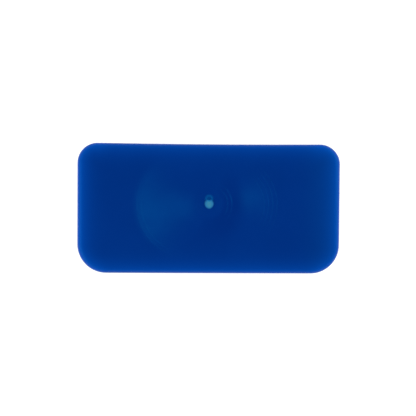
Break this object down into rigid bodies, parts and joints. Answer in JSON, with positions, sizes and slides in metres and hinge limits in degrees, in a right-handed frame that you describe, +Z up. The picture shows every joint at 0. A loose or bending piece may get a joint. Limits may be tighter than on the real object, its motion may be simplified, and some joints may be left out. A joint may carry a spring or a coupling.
{
  "type": "cue chalk case",
  "caption": "Blue moulded pocket case with a rear-hinged lid and magnetic catch, holding standard cubes of cue chalk side by side in a tray.",
  "frame": {"origin": "middle of the underside, at the centre of the case's outline", "axes": "+X along the case and its hinge, -Y towards the opening front, +Y towards the hinge, +Z up through the lid"},
  "size_m": [0.0582, 0.0288, 0.0274],
  "materials": {
    "shell_plastic": "satin",
    "tray_plastic": "satin",
    "chalk": "matte",
    "label_paper": "matte",
    "pad_foam": "matte",
    "magnet_nickel": "gloss",
    "pin_steel": "satin"
  },
  "bodies": {
    "base": {"base_shell": "shell_plastic", "inner_tray": "tray_plastic", "chalk_left": "chalk", "chalk_right": "chalk", "label_left": "label_paper", "label_right": "label_paper", "base_magnet": "magnet_nickel", "hinge_pin": "pin_steel"},
    "lid": {"lid_shell": "shell_plastic", "lid_pad_left": "pad_foam", "lid_pad_right": "pad_foam", "lid_magnet": "magnet_nickel"}
  },
  "joints": [
    {"name": "lid_hinge", "type": "hinge", "parent": "base", "child": "lid", "pos_m": [0, 0.01265, 0.0206], "axis": [-1, 0, 0], "range_deg": [0, 110]}
  ]
}
